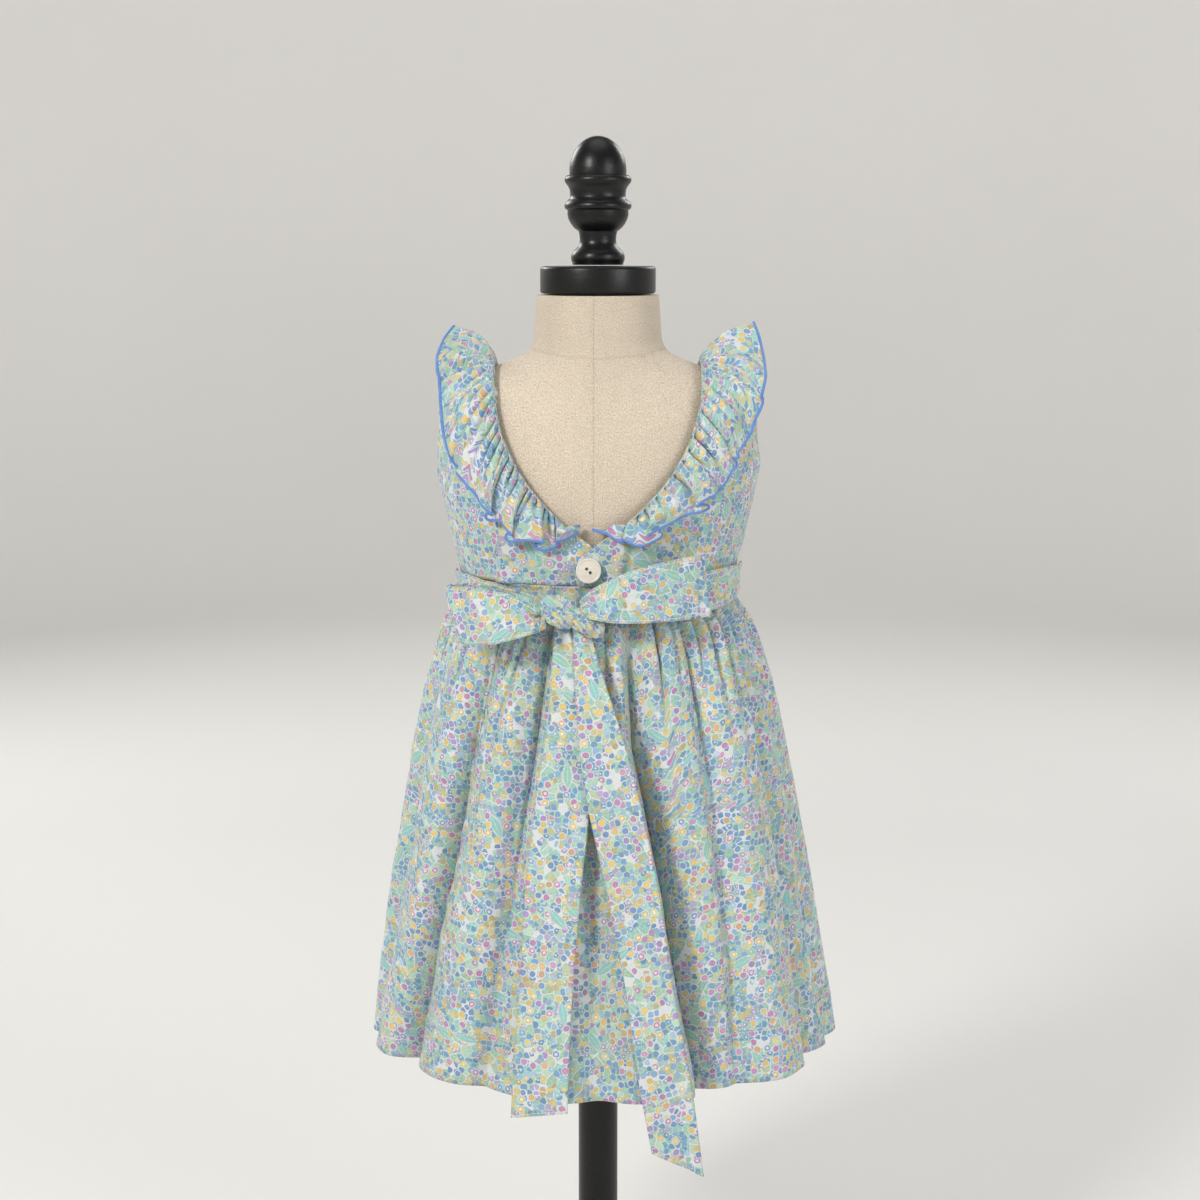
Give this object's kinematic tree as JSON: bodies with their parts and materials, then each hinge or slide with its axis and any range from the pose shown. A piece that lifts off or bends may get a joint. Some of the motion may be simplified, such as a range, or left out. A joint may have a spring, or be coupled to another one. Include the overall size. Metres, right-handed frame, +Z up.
{
  "type": "child's ruffled sundress on a dress form",
  "caption": "Sleeveless child's cotton sundress with a ruffled V back, a bow sash and a gathered skirt, shown on a limbless linen dress form with a pole and round foot.",
  "frame": {"origin": "middle of the foot's underside, on the floor", "axes": "+Z up the pole, the back of the dress with its V and bow faces -Y, +X is to the right of someone who looks at the back"},
  "size_m": [0.356, 0.2825, 0.9411],
  "materials": {
    "print_cotton": "fine plain-weave cotton, off-white with a small dense print of petals, dots and leaves in blue, green, yellow, tan and lilac, matt",
    "blue_edge": "dense blue overlock thread along the ruffle's free edge",
    "linen": "natural cream linen, plain weave with slubs, matt",
    "button": "off-white button with a soft shine",
    "black_wood": "turned wood painted satin black"
  },
  "bodies": {
    "root": {"bodice_front": "print_cotton", "bodice_back_left": "print_cotton", "bodice_back_right": "print_cotton", "ruffle_left": "print_cotton", "ruffle_right": "print_cotton", "skirt_back": "print_cotton", "skirt_front": "print_cotton", "sash_left": "print_cotton", "sash_right": "print_cotton", "bow_loop_left": "print_cotton", "bow_loop_right": "print_cotton", "bow_knot": "print_cotton", "tail_left": "print_cotton", "tail_right": "print_cotton", "button": "button", "form_torso": "linen", "neck_cap": "black_wood", "finial": "black_wood", "pole": "black_wood", "base": "black_wood"}
  },
  "joints": []
}
